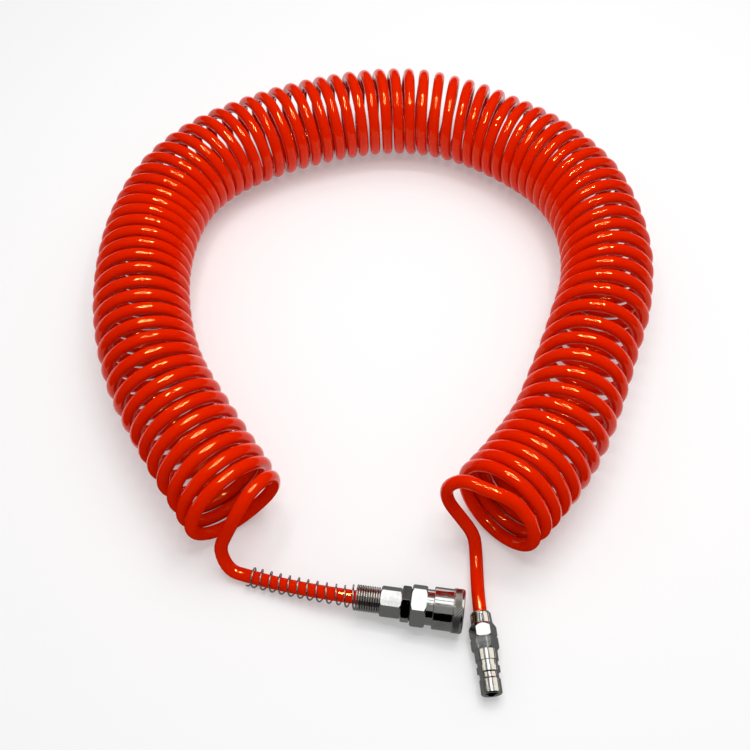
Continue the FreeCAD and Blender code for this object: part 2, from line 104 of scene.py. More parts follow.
# Middle line of the bend-guard spring, in millimetres, as the source has it
GUARD_AXIS = [(-49.3, 0, 0), (-70, 0, 0), (-100, 2.4, -4.1), (-130, 6.5, -6.55)]

# Where the coil begins and ends, in turns, and the angle at which turn 0 starts
COIL_FIRST_TURN = -0.3333
COIL_LAST_TURN = 82.1667
COIL_START_ANGLE = math.radians(9.9)
POINTS_PER_TURN = 12
ROUTE_STEPS = 40
# The winding of the coil. Each row is a turn, counted from the socket's end: how far along the
# middle line it lies in millimetres, how far its top leans and its side swings forward in degrees,
# and its mean radius in millimetres
TURNS = [
    (-1, -0.9, -5.1, -4.7, 28.3),
    (-0.4, 5, -5.1, -4.7, 28.3),
    (0, 9, -5, -5.1, 28.4),
    (1, 19.1, -4.9, -6.2, 28.7),
    (2, 29.2, -1.5, -3.5, 28.5),
    (3, 41.8, -3.7, -2.1, 28.6),
    (4, 54.2, -6, -0.7, 28.7),
    (6, 78.2, -7.9, -0.4, 28.7),
    (8, 102.5, -11.3, 1.6, 28.6),
    (10, 125.2, -7.6, 3.4, 28.5),
    (12, 147.8, -3.5, 5.4, 28.5),
    (14, 170.1, -3.1, 3.2, 28.7),
    (16, 192.3, 1.4, 2.1, 28.5),
    (18, 212.7, 1.8, 1.9, 28.5),
    (20, 233.1, 0.6, 2.1, 28.7),
    (22, 253.7, -4.8, 2.2, 28.7),
    (24, 274.2, -5.4, 0.7, 28.7),
    (26, 295.9, -5, 0.2, 28.6),
    (28, 317.7, -2.3, -2.9, 28.5),
    (30, 339.8, -0.1, -3.7, 28.6),
    (32, 362, 1.3, 0.7, 28.6),
    (34, 384.5, 0, -0.4, 28.7),
    (36, 407.1, 0, 1.1, 28.7),
    (38, 428.5, -1.3, 1.1, 28.7),
    (40, 449.9, 1.2, 1.8, 28.7),
    (42, 471.3, 0.1, 0.2, 28.7),
    (44, 492.7, -0.4, -0.6, 28.7),
    (46, 514.9, 0.4, -5, 28.1),
    (48, 537.1, 0.4, -6.3, 28),
    (50, 558.5, 0.9, -2.6, 27.6),
    (52, 579.8, -1.7, -0.4, 27.9),
    (54, 600.3, -1.5, 1.3, 28),
    (56, 620.7, -1.2, 0.4, 27.8),
    (58, 641.9, -1.7, -0.6, 28),
    (60, 663.1, -2.6, -1.9, 27.6),
    (62, 687.4, -3.5, -1.8, 27.6),
    (64, 711.8, -5.3, -2.1, 27.9),
    (66, 734.7, -5.9, -3.8, 27.7),
    (68, 757.6, -2.2, -3.6, 28.4),
    (70, 786.9, -4.7, 0.6, 27.9),
    (72, 816.1, -7.2, -0.4, 28.2),
    (74, 841.5, -0.5, 0.4, 28.2),
    (76, 866.9, 0.9, -0.2, 28.4),
    (78, 888.3, -2.8, 0.6, 28.7),
    (79, 898.6, -5.7, -1.3, 28.5),
    (80, 907.6, -4.2, -1, 28.5),
    (81, 916.4, -4.2, -1.3, 28.5),
    (82, 925.5, -3.1, -0.8, 28.3),
    (82.2, 927.3, -2.8, -0.7, 28.2),
    (83, 934.6, -2.8, -0.7, 28.2),
]


def in_metres(points):
    return [Vector(point) * MM for point in points]


def make_camera():
    camera = bpy.data.objects.new("camera", bpy.data.cameras.new("camera"))
    bpy.context.scene.collection.objects.link(camera)
    camera.data.lens = CAMERA_LENS
    camera.data.sensor_width = SENSOR_WIDTH
    camera.data.clip_start = CAMERA_NEAR
    camera.data.clip_end = CAMERA_FAR
    camera.location = CAMERA_PLACE
    camera.rotation_mode = "QUATERNION"
    camera.rotation_quaternion = (CAMERA_AIM - CAMERA_PLACE).to_track_quat("-Z", "Y")
    bpy.context.scene.camera = camera


def smooth_curve(name, points, thickness=0.0, steps=4, sides=18):
    """A smooth line that stays just inside its control points, round if it has a thickness."""
    data = bpy.data.curves.new(name, "CURVE")
    data.dimensions = "3D"
    spline = data.splines.new("NURBS")
    spline.points.add(len(points) - 1)
    for knot, point in zip(spline.points, points):
        knot.co = (*point, 1.0)
        knot.radius = thickness / 2
    spline.order_u = 3
    spline.use_endpoint_u = True
    spline.use_smooth = True
    spline.resolution_u = steps
    data.resolution_u = steps
    data.bevel_depth = 1.0 if thickness else 0.0
    data.bevel_resolution = (sides - 4) // 2
    data.use_fill_caps = thickness > 0
    curve = bpy.data.objects.new(name, data)
    bpy.context.scene.collection.objects.link(curve)
    return curve


def read_line(points):
    """Points along the smooth line of a route, in order."""
    route = smooth_curve("route", points, steps=ROUTE_STEPS)
    mesh = bpy.data.meshes.new_from_object(route)
    line = [vertex.co.copy() for vertex in mesh.vertices]
    bpy.data.objects.remove(route)
    bpy.data.meshes.remove(mesh)
    return line


def row_at(table, value):
    """Reads a table at a value of its first column, in proportion between its rows."""
    for low, high in zip(table, table[1:]):
        if value <= high[0]:
            break
    share = (value - low[0]) / (high[0] - low[0])
    return [start + (end - start) * share for start, end in zip(low[1:], high[1:])]


def place_on(line, distance):
    """The place at a distance along a line of points, and the heading there."""
    for start, end in zip(line, line[1:]):
        step = (end - start).length
        if distance <= step:
            break
        distance -= step
    heading = (end - start).normalized()
    return start + heading * distance, heading


def coil_points():
    """Points of the wound hose around the coil's middle line, from the socket's end on."""
    line = read_line(in_metres(COIL_ROUTE))
    # The smooth line passes a little inside its control points
    widening = 1 / math.cos(math.pi / POINTS_PER_TURN)
    points = []
    count = round((COIL_LAST_TURN - COIL_FIRST_TURN) * POINTS_PER_TURN)
    for step in range(count + 1):
        turn = COIL_FIRST_TURN + step / POINTS_PER_TURN
        distance, lean, swing, radius = row_at(TURNS, turn)
        centre, heading = place_on(line, distance * MM)
        # Each turn rests on the table
        centre.z = TABLE_HEIGHT + HOSE_DIAMETER / 2 + radius * MM
        outward = Vector((-heading.y, heading.x, 0)).normalized()
        side = outward + heading * math.tan(math.radians(swing))
        up = Vector((0, 0, 1)) + heading * math.tan(math.radians(lean))
        angle = 2 * math.pi * turn + COIL_START_ANGLE
        spoke = side * math.cos(angle) + up * math.sin(angle)
        points.append(centre + spoke * radius * MM * widening)
    return points


def make_hose():
    """The whole hose as one line: the socket's tail, the coil's windings and the plug's tail."""
    points = in_metres(SOCKET_TAIL) + coil_points() + in_metres(reversed(PLUG_TAIL))
    hose = smooth_curve("hose", points, HOSE_DIAMETER)
    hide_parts("hose_coil", "hose_tail_socket", "hose_tail_plug")
    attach(hose, ROOT)
    return hose


# Bend-guard spring: turns of each stretch and their pitch in millimetres, from the nut on. The
# first stretch is the tight collar, and the others are open
GUARD_STRETCHES = [(10, 1.42), (2, 4.9), (9, 5.85), (1, 3.7)]
GUARD_WIRE = 1.08 * MM
COLLAR_TURNS = 10
TAPER_TURNS = 1.5
COLLAR_RADIUS = 7.12 * MM
OPEN_RADIUS = 5.62 * MM
# Points per turn of every spring
WINDING_STEPS = 12


def make_guard_spring():
    """The bend-guard spring, wound around its own middle line."""
    line = read_line(in_metres(GUARD_AXIS))
    pitches = []
    for turns, pitch in GUARD_STRETCHES:
        pitches += [pitch * MM] * (turns * WINDING_STEPS)
    points = []
    for step in range(len(pitches) + 1):
        turn = step / WINDING_STEPS
        opened = min(max((turn - COLLAR_TURNS) / TAPER_TURNS, 0.0), 1.0)
        radius = COLLAR_RADIUS * (1 - opened) + OPEN_RADIUS * opened
        centre, heading = place_on(line, sum(pitches[:step]) / WINDING_STEPS)
        side = Vector((0, 0, 1)).cross(heading).normalized()
        up = heading.cross(side)
        angle = 2 * math.pi * turn
        reach = radius / math.cos(math.pi / WINDING_STEPS)
        points.append(centre + (side * math.cos(angle) + up * math.sin(angle)) * reach)
    spring = smooth_curve("guard_spring_wire", points, GUARD_WIRE, sides=12)
    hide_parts("bend_guard_spring")
    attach(spring, ROOT)
    return spring


# The two springs inside the socket, in millimetres: how far behind the mouth each starts, its mean
# radius, the radius of its wire, its pitch, and its number of turns
SLEEVE_SPRING = (9.1, 9.62, 0.42, 2.12, 3.0)
VALVE_SPRING = (21.4, 5.9, 0.35, 1.88, 3.0)


def make_spring(node, joint, front, radius, wire, pitch, turns, keep):
    """A compression spring about the socket's axis, wound back from its front end; its joint is not
    used.
    """
    reach = radius / math.cos(math.pi / WINDING_STEPS)
    points = []
    for step in range(round(turns * WINDING_STEPS) + 1):
        turn = step / WINDING_STEPS
        angle = 2 * math.pi * turn
        place = (-front - pitch * turn, math.cos(angle) * reach, math.sin(angle) * reach)
        points.append(Vector(place) * MM)
    wound = smooth_curve(node + "_route", points, 2 * wire * MM, sides=10)
    spring = bpy.data.objects.new(node + "_wire", bpy.data.meshes.new_from_object(wound))
    bpy.data.objects.remove(wound)
    bpy.context.scene.collection.objects.link(spring)
    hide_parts(node)
    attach(spring, ROOT)
    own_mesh(spring)
    return spring


# Width of the rounded edges of the machined pieces and of the sleeve
EDGE_WIDTH = 0.26 * MM
SLEEVE_EDGE_WIDTH = 0.18 * MM
# Points that are closer than this are one point
WELD_DISTANCE = 0.001 * MM
# Angle in degrees between two faces from which their edge is rounded, on the machined pieces and on
# the sleeve, and from which it is shaded as sharp. Below the last one it is only a seam in a flat
# face, and is dissolved
ROUNDED_FROM = 25.0
SLEEVE_ROUNDED_FROM = 40.0
SHARP_FROM = 50.0
SEAM_BELOW = 0.4


def new_piece(name, shape):
    """A piece from a finished bmesh, smooth over its curves and flat over its flats."""
    for face in shape.faces:
        face.smooth = True
    mesh = bpy.data.meshes.new(name)
    shape.to_mesh(mesh)
    shape.free()
    piece = bpy.data.objects.new(name, mesh)
    bpy.context.scene.collection.objects.link(piece)
    mesh.set_sharp_from_angle(angle=math.radians(SHARP_FROM))
    flatter = piece.modifiers.new("flat_faces", "WEIGHTED_NORMAL")
    flatter.keep_sharp = True
    return piece


def round_corners(shape, width, rounded_from):
    """Bevels every edge of a shape that is sharper than an angle in degrees."""
    least = math.radians(rounded_from)
    sharp = [edge for edge in shape.edges if edge.is_manifold and edge.calc_face_angle() > least]
    bmesh.ops.bevel(shape, geom=sharp, offset=width, offset_type="OFFSET", affect="EDGES",
                    segments=2, profile=0.5, material=-1, clamp_overlap=True)


def soften(node):
    """A machined piece with its corners rounded a little, in place of its plain solid."""
    shape = bmesh.new()
    shape.from_mesh(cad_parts[node].data)
    bmesh.ops.remove_doubles(shape, verts=shape.verts, dist=WELD_DISTANCE)
    bmesh.ops.dissolve_limit(shape, angle_limit=math.radians(SEAM_BELOW), verts=shape.verts,
                             edges=shape.edges)
    round_corners(shape, EDGE_WIDTH, ROUNDED_FROM)
    piece = new_piece(node + "_finished", shape)
    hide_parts(node)
    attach(piece, ROOT)
    return piece


# Outline of the coupling sleeve: distance back from the mouth and radius, in millimetres. The rows
# between the ends of the knurl are added from its own values
SLEEVE_BEFORE_KNURL = [
    (2.15, 10.45), (0, 10.45), (0, 11.7), (0.25, 12.25), (0.8, 12.65), (1.4, 12.78),
]
SLEEVE_AFTER_KNURL = [
    (6.15, 12.78), (6.4, 12.55), (6.4, 12.2), (17.4, 12.2), (17.8, 11.8), (17.8, 10.38),
    (8.6, 10.38), (8.6, 8.83), (6.6, 8.83), (2.15, 9.9425),
]
# The knurl, in millimetres. Its slant is how far a tooth moves around for each step back, its teeth
# run out to nothing at both ends, and every point further out than the rim belongs to it
KNURL_FRONT = 1.7
KNURL_BACK = 5.9
KNURL_ROWS = 24
KNURL_TEETH = 40
KNURL_SLANT = 1.35
KNURL_DEPTH = 0.48
KNURL_RUN_OUT = 0.3
KNURL_RADIUS = 12.8
KNURL_RIM = 12.7
KNURL_STEPS = 8


def knurl_radius(back, angle):
    """Radius of the rim at a place: slanting teeth that run out at both ends of the knurl."""
    phase = KNURL_TEETH * (angle - KNURL_SLANT * back / KNURL_RADIUS) / (2 * math.pi)
    tooth = abs(2 * (phase % 1.0) - 1)
    from_end = min(back - KNURL_FRONT, KNURL_BACK - back)
    run_out = min(from_end / KNURL_RUN_OUT, 1.0)
    return KNURL_RADIUS - KNURL_DEPTH * tooth * max(run_out, 0.0)


def make_sleeve():
    """The coupling sleeve, turned from its outline, with a slanting knurl around its rim."""
    length = KNURL_BACK - KNURL_FRONT
    rows = [KNURL_FRONT + length * row / KNURL_ROWS for row in range(KNURL_ROWS + 1)]
    outline = SLEEVE_BEFORE_KNURL + [(row, KNURL_RADIUS) for row in rows] + SLEEVE_AFTER_KNURL
    shape = bmesh.new()
    corners = [shape.verts.new((-back * MM, radius * MM, 0)) for back, radius in outline]
    runs = [shape.edges.new(pair) for pair in zip(corners, corners[1:] + corners[:1])]
    bmesh.ops.spin(shape, geom=corners + runs, cent=(0, 0, 0), axis=(1, 0, 0), angle=2 * math.pi,
                   steps=KNURL_TEETH * KNURL_STEPS, use_merge=True)
    bmesh.ops.recalc_face_normals(shape, faces=shape.faces)
    round_corners(shape, SLEEVE_EDGE_WIDTH, SLEEVE_ROUNDED_FROM)
    for vertex in shape.verts:
        back = -vertex.co.x / MM
        reach = math.hypot(vertex.co.y, vertex.co.z)
        if KNURL_FRONT < back < KNURL_BACK and reach > KNURL_RIM * MM:
            wanted = knurl_radius(back, math.atan2(vertex.co.z, vertex.co.y)) * MM
            vertex.co.y *= wanted / reach
            vertex.co.z *= wanted / reach
    sleeve = new_piece("knurled_sleeve", shape)
    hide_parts("coupling_sleeve")
    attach(sleeve, "sleeve")
    return sleeve


def add(nodes, kind, values=None, **settings):
    """A new node with its settings, and the starting values of its named inputs."""
    node = nodes.new("ShaderNode" + kind)
    for name, value in settings.items():
        setattr(node, name, value)
    for name, value in (values or {}).items():
        node.inputs[name].default_value = value
    return node


def new_group(name, inputs, outputs):
    """An empty node group with its sockets, and its input and output nodes."""
    group = bpy.data.node_groups.new(name, "ShaderNodeTree")
    for socket, kind, value in inputs:
        made = group.interface.new_socket(socket, in_out="INPUT", socket_type="NodeSocket" + kind)
        if value is not None:
            made.default_value = value
    for socket in outputs:
        group.interface.new_socket(socket, in_out="OUTPUT", socket_type="NodeSocketFloat")
    return group, group.nodes.new("NodeGroupInput"), group.nodes.new("NodeGroupOutput")


def turning_marks_group():
    """Fine rings that a lathe leaves around an axis along X."""
    inputs = [("Vector", "Vector", None), ("Rings", "Float", 2600.0)]
    group, taken, given = new_group("turning_marks", inputs, ["Height", "Streaks"])
    nodes, links = group.nodes, group.links
    thin = add(nodes, "VectorMath", operation="MULTIPLY")
    thin.inputs[1].default_value = (1.0, 0.012, 0.012)
    rings = add(nodes, "TexNoise", {"Detail": 3.0, "Roughness": 0.6})
    streaks = add(nodes, "MapRange", {"From Min": 0.4, "From Max": 0.7})
    links.new(taken.outputs["Vector"], thin.inputs[0])
    links.new(thin.outputs[0], rings.inputs["Vector"])
    links.new(taken.outputs["Rings"], rings.inputs["Scale"])
    links.new(rings.outputs["Fac"], streaks.inputs["Value"])
    links.new(rings.outputs["Fac"], given.inputs["Height"])
    links.new(streaks.outputs["Result"], given.inputs["Streaks"])
    return group


# Directions of the scratches: how far each set is turned about the three axes, in radians
SCRATCH_TURNS = ((0.3, 0.9, 0.5), (1.1, -0.4, 1.9))


def handling_marks_group():
    """Finger smudges and hair-fine scratches."""
    inputs = [("Vector", "Vector", None), ("Smudge Scale", "Float", 130.0)]
    group, taken, given = new_group("handling_marks", inputs, ["Smudges", "Scratches"])
    nodes, links = group.nodes, group.links
    patches = add(nodes, "TexNoise", {"Detail": 5.0, "Roughness": 0.62, "Distortion": 0.6})
    smudges = add(nodes, "MapRange", {"From Min": 0.48, "From Max": 0.72})
    links.new(taken.outputs["Vector"], patches.inputs["Vector"])
    links.new(taken.outputs["Smudge Scale"], patches.inputs["Scale"])
    links.new(patches.outputs["Fac"], smudges.inputs["Value"])
    links.new(smudges.outputs["Result"], given.inputs["Smudges"])
    hairs = []
    for turn in SCRATCH_TURNS:
        slant = add(nodes, "Mapping", {"Rotation": turn, "Scale": (90.0, 3200.0, 3200.0)})
        lines = add(nodes, "TexNoise", {"Scale": 1.0, "Detail": 1.0})
        thin = add(nodes, "MapRange", {"From Min": 0.69, "From Max": 0.76})
        links.new(taken.outputs["Vector"], slant.inputs["Vector"])
        links.new(slant.outputs["Vector"], lines.inputs["Vector"])
        links.new(lines.outputs["Fac"], thin.inputs["Value"])
        hairs.append(thin.outputs["Result"])
    both = add(nodes, "Math", operation="MAXIMUM")
    links.new(hairs[0], both.inputs[0])
    links.new(hairs[1], both.inputs[1])
    links.new(both.outputs[0], given.inputs["Scratches"])
    return group


def grain_group():
    """Plain fine grain at a chosen scale."""
    inputs = [("Vector", "Vector", None), ("Scale", "Float", 900.0)]
    group, taken, given = new_group("fine_grain", inputs, ["Grain", "Drift"])
    nodes, links = group.nodes, group.links
    grain = add(nodes, "TexNoise", {"Detail": 3.0, "Roughness": 0.55})
    drift = add(nodes, "TexNoise", {"Scale": 34.0, "Detail": 2.0})
    links.new(taken.outputs["Vector"], grain.inputs["Vector"])
    links.new(taken.outputs["Scale"], grain.inputs["Scale"])
    links.new(taken.outputs["Vector"], drift.inputs["Vector"])
    links.new(grain.outputs["Fac"], given.inputs["Grain"])
    links.new(drift.outputs["Fac"], given.inputs["Drift"])
    return group


def new_material(name):
    material = bpy.data.materials.new(name)
    material.use_nodes = True
    return material, material.node_tree.nodes, material.node_tree.links


def place_group(nodes, links, group, vector, values=None):
    placed = nodes.new("ShaderNodeGroup")
    placed.node_tree = group
    links.new(vector, placed.inputs["Vector"])
    for name, value in (values or {}).items():
        placed.inputs[name].default_value = value
    return placed


def blend_colours(nodes, links, share, first, second):
    """Colour between two, by a share that changes over the surface."""
    mix = add(nodes, "Mix", data_type="RGBA")
    mix.inputs["A"].default_value = (*first, 1)
    mix.inputs["B"].default_value = (*second, 1)
    links.new(share, mix.inputs["Factor"])
    return mix.outputs["Result"]


def spread(nodes, links, value, low, high):
    """A value from 0 to 1 spread between two others."""
    ranged = add(nodes, "MapRange", {"To Min": low, "To Max": high})
    links.new(value, ranged.inputs["Value"])
    return ranged.outputs["Result"]


def add_up(nodes, links, first, second):
    total = add(nodes, "Math", operation="ADD", use_clamp=True)
    links.new(first, total.inputs[0])
    links.new(second, total.inputs[1])
    return total.outputs[0]


def raise_surface(nodes, links, height, distance, strength):
    """Small relief on the material's shader."""
    bump = add(nodes, "Bump", {"Strength": strength, "Distance": distance})
    links.new(height, bump.inputs["Height"])
    links.new(bump.outputs["Normal"], nodes["Principled BSDF"].inputs["Normal"])


def object_vector(nodes, links, heading=0.0):
    """Object coordinates, turned so that X runs along a piece's axis."""
    coordinates = nodes.new("ShaderNodeTexCoord")
    turned = add(nodes, "Mapping", {"Rotation": (0, 0, math.radians(-heading))})
    links.new(coordinates.outputs["Object"], turned.inputs["Vector"])
    return turned.outputs["Vector"]


# Light and dark colour of the hose, of rubber and of each metal, and for a metal its least and most
# roughness too
HOSE_COLOURS = ((0.74, 0.019, 0.0001), (0.68, 0.011, 0.0001))
RUBBER_COLOURS = ((0.012, 0.012, 0.013), (0.028, 0.027, 0.026))
NICKEL = ((0.60, 0.60, 0.59), (0.52, 0.515, 0.50), 0.045, 0.2)
BRIGHT_WIRE = ((0.66, 0.64, 0.61), (0.50, 0.48, 0.45), 0.06, 0.2)
DARK_STEEL = ((0.30, 0.29, 0.28), (0.20, 0.18, 0.16), 0.22, 0.5)
# Painted shade: a dark, rough metal for deep, narrow recesses, in place of the shade that falls in
# them
RECESS_SHADE_STEEL = ((0.10, 0.095, 0.09), (0.06, 0.055, 0.05), 0.3, 0.55)
BALL_STEEL = ((0.62, 0.62, 0.62), (0.55, 0.55, 0.54), 0.05, 0.12)
BRASS = ((0.74, 0.50, 0.19), (0.58, 0.36, 0.13), 0.2, 0.4)
SCRATCH_ROUGHNESS = 0.18
# Height of each surface's fine relief, in metres
HOSE_RELIEF = 0.0002
METAL_RELIEF = 0.00004
RUBBER_RELIEF = 0.0001


def hose_material(grain, marks):
    """Glossy polyurethane that light enters a little, with the faint waviness of extrusion."""
    material, nodes, links = new_material("glossy_polyurethane")
    shader = nodes["Principled BSDF"]
    vector = object_vector(nodes, links)
    body = place_group(nodes, links, grain, vector, {"Scale": 420.0})
    touched = place_group(nodes, links, marks, vector, {"Smudge Scale": 70.0})
    colour = blend_colours(nodes, links, body.outputs["Drift"], *HOSE_COLOURS)
    links.new(colour, shader.inputs["Base Color"])
    roughness = spread(nodes, links, touched.outputs["Smudges"], low=0.022, high=0.05)
    links.new(roughness, shader.inputs["Roughness"])
    shader.inputs["IOR"].default_value = 1.5
    shader.inputs["Specular IOR Level"].default_value = 0.27
    shader.inputs["Specular Tint"].default_value = (1.0, 0.62, 0.22, 1)
    shader.inputs["Subsurface Weight"].default_value = 0.3
    shader.inputs["Subsurface Radius"].default_value = (1.0, 0.12, 0.02)
    shader.inputs["Subsurface Scale"].default_value = 0.003
    raise_surface(nodes, links, body.outputs["Grain"], HOSE_RELIEF, strength=0.06)
    return material


def metal_material(name, rings, marks, light, dark, smooth, rough, heading=0.0, relief=0.1):
    """Bright metal with turning marks around its axis, smudges and fine scratches."""
    material, nodes, links = new_material(name)
    shader = nodes["Principled BSDF"]
    vector = object_vector(nodes, links, heading)
    turned = place_group(nodes, links, rings, vector)
    touched = place_group(nodes, links, marks, vector)
    colour = blend_colours(nodes, links, touched.outputs["Smudges"], light, dark)
    links.new(colour, shader.inputs["Base Color"])
    shader.inputs["Metallic"].default_value = 1.0
    streaked = spread(nodes, links, turned.outputs["Streaks"], smooth, (smooth + rough) / 2)
    smudged = spread(nodes, links, touched.outputs["Smudges"], 0.0, (rough - smooth) / 2)
    scratched = spread(nodes, links, touched.outputs["Scratches"], 0.0, SCRATCH_ROUGHNESS)
    roughness = add_up(nodes, links, add_up(nodes, links, streaked, smudged), scratched)
    links.new(roughness, shader.inputs["Roughness"])
    raise_surface(nodes, links, turned.outputs["Height"], METAL_RELIEF, relief)
    return material


def rubber_material(grain):
    """Dull black rubber of the gasket and the seal rings."""
    material, nodes, links = new_material("black_rubber")
    shader = nodes["Principled BSDF"]
    vector = object_vector(nodes, links)
    body = place_group(nodes, links, grain, vector, {"Scale": 2200.0})
    colour = blend_colours(nodes, links, body.outputs["Drift"], *RUBBER_COLOURS)
    links.new(colour, shader.inputs["Base Color"])
    roughness = spread(nodes, links, body.outputs["Grain"], low=0.42, high=0.6)
    links.new(roughness, shader.inputs["Roughness"])
    raise_surface(nodes, links, body.outputs["Grain"], RUBBER_RELIEF, strength=0.3)
    return material


def dress(thing, material):
    thing.data.materials.clear()
    thing.data.materials.append(material)


def paint_recess_shade(piece, material, front, back, inner, outer):
    """Paints shade into the faces between two places and two radii about the socket's axis: they
    take a second, darker metal.
    """
    piece.data.materials.append(material)
    for face in piece.data.polygons:
        place = -face.center.x / MM
        reach = math.hypot(face.center.y, face.center.z) / MM
        if front < place < back and inner < reach < outer:
            face.material_index = 1


# Studio, in metres. Four strip lamps form a frame over the coil, and a wide soft lamp hangs behind
# it. Cards take the place of the unknown surroundings. Every piece but the hose mirrors the room
# of cards, and the hose mirrors only the four shine cards under the strip lamps. A brightness is
# what a lamp or card shows where it is mirrored, with white as one
LAMP_FRAME_LOW = Vector((-0.234, 0.030, 0.763))
LAMP_FRAME_HIGH = Vector((0.135, 0.358, 0.763))
LAMP_STRIP_WIDTH = 0.01
STRIP_BRIGHTNESS = 55.0
SHINE_WIDTH = 0.06
STRIP_SHINE = (95.0, 92.0, 86.0)
SOFT_LAMP_CENTRE = Vector((0.185, 0.74, 1.35))
SOFT_LAMP_SIZE = (1.03, 1.04)
SOFT_BRIGHTNESS = 2.0
# Left, right, front, back and height of the room of cards and of the card over the coil's middle.
# The two leaning cards have the side and the height of both their edges instead
ROOM = (-1.7, 1.7, -1.4, 2.0, 1.5)
MIDDLE_CARD = (-0.45, 0.19, 0.22, 1.26, 1.35)
LEFT_CARD = ((-1.6, 0.68), (-0.95, 1.35))
RIGHT_CARD = ((0.57, 1.35), (1.6, 0.46))
LEANING_FRONT = 0.1
LEANING_BACK = 1.26
# A grey card just over the table in front of the pieces, which every piece but the hose mirrors: a
# painted reflection of the table's shade close to the pieces
FOREGROUND_BACK = 0.06
FOREGROUND_LIFT = 0.3 * MM
CREAM = (1.4, 1.3, 1.12)
BLACK, DARK, SHADE, GREY, WHITE = [(tone, tone, tone) for tone in (0.0, 0.12, 0.17, 0.3, 1.7)]
# The table's reach to each side, its paper, and how much of what it shows is plain white
TABLE_REACH = 12.0
PAPER = (0.93, 0.93, 0.93, 1)
TABLE_GLOW = 0.25
# How brightly the world lights the pieces, and how bright it looks itself
WORLD_LIGHT = 0.54
WORLD_SEEN = 1.0


def flat_lamp(name, centre, length, width, brightness):
    """A level lamp that shines down."""
    lamp = bpy.data.lights.new(name, "AREA")
    lamp.shape = "RECTANGLE"
    lamp.size = length
    lamp.size_y = width
    lamp.energy = brightness * math.pi * length * width
    panel = bpy.data.objects.new(name, lamp)
    panel.location = centre
    panel.visible_camera = False
    bpy.context.scene.collection.objects.link(panel)
    return panel


def make_lamps():
    low, high, width = LAMP_FRAME_LOW, LAMP_FRAME_HIGH, LAMP_STRIP_WIDTH
    middle = (low + high) / 2
    long_side = high.x - low.x
    short_side = high.y - low.y
    for name, y in (("lamp_near", low.y), ("lamp_far", high.y)):
        flat_lamp(name, (middle.x, y, low.z), long_side + width, width, STRIP_BRIGHTNESS)
    for name, x in (("lamp_left", low.x), ("lamp_right", high.x)):
        flat_lamp(name, (x, middle.y, low.z), width, short_side - width, STRIP_BRIGHTNESS)
    soft = flat_lamp("soft_lamp", SOFT_LAMP_CENTRE, *SOFT_LAMP_SIZE, SOFT_BRIGHTNESS)
    soft.visible_glossy = False


def flat_card(name, corners, material):
    """One flat four-cornered piece of the studio."""
    mesh = bpy.data.meshes.new(name)
    shape = bmesh.new()
    shape.faces.new([shape.verts.new(corner) for corner in corners])
    shape.to_mesh(mesh)
    shape.free()
    card = bpy.data.objects.new(name, mesh)
    bpy.context.scene.collection.objects.link(card)
    card.data.materials.append(material)
    return card


def mirrored_card(name, corners, colour, mirrored_by):
    """A card that some pieces mirror and that nothing else sees, so it takes no light away."""
    card = flat_card(name, corners, card_material(name, colour))
    card.visible_camera = False
    card.visible_diffuse = False
    card.visible_shadow = False
    card.light_linking.receiver_collection = mirrored_by


def seen_rays(nodes, links):
    """One where the camera, a mirror or a clear piece looks straight at the surface, else zero."""
    path = nodes.new("ShaderNodeLightPath")
    seen = add_up(nodes, links, path.outputs["Is Camera Ray"], path.outputs["Is Glossy Ray"])
    return add_up(nodes, links, seen, path.outputs["Is Transmission Ray"])


def floor_material():
    """White paper that keeps the object's soft shadow."""
    material, nodes, links = new_material("white_table")
    shader = nodes["Principled BSDF"]
    shader.inputs["Base Color"].default_value = PAPER
    shader.inputs["Roughness"].default_value = 0.9
    shader.inputs["Specular IOR Level"].default_value = 0.0
    glow = nodes.new("ShaderNodeEmission")
    glow.inputs["Color"].default_value = (1, 1, 1, 1)
    share = add(nodes, "Math", operation="MULTIPLY")
    share.inputs[1].default_value = TABLE_GLOW
    links.new(seen_rays(nodes, links), share.inputs[0])
    mix = nodes.new("ShaderNodeMixShader")
    links.new(share.outputs[0], mix.inputs["Fac"])
    links.new(shader.outputs["BSDF"], mix.inputs[1])
    links.new(glow.outputs["Emission"], mix.inputs[2])
    links.new(mix.outputs["Shader"], nodes["Material Output"].inputs["Surface"])
    return material


def card_material(name, colour):
    """A studio card of one plain brightness."""
    material, nodes, links = new_material(name)
    nodes.remove(nodes["Principled BSDF"])
    glow = nodes.new("ShaderNodeEmission")
    glow.inputs["Color"].default_value = (*colour, 1)
    links.new(glow.outputs["Emission"], nodes["Material Output"].inputs["Surface"])
    return material


def level(left, right, front, back, height):
    """Corners of a level card."""
    return [(left, back, height), (right, back, height),
            (right, front, height), (left, front, height)]


def leaning(left, right, front, back):
    """Corners of a card that slopes from one side and height to another."""
    (left_side, left_height), (right_side, right_height) = left, right
    return [(left_side, back, left_height), (right_side, back, right_height),
            (right_side, front, right_height), (left_side, front, left_height)]


def upright(first, second, low, high):
    """Corners of a standing card between two places on the floor."""
    return [(*first, low), (*second, low), (*second, high), (*first, high)]


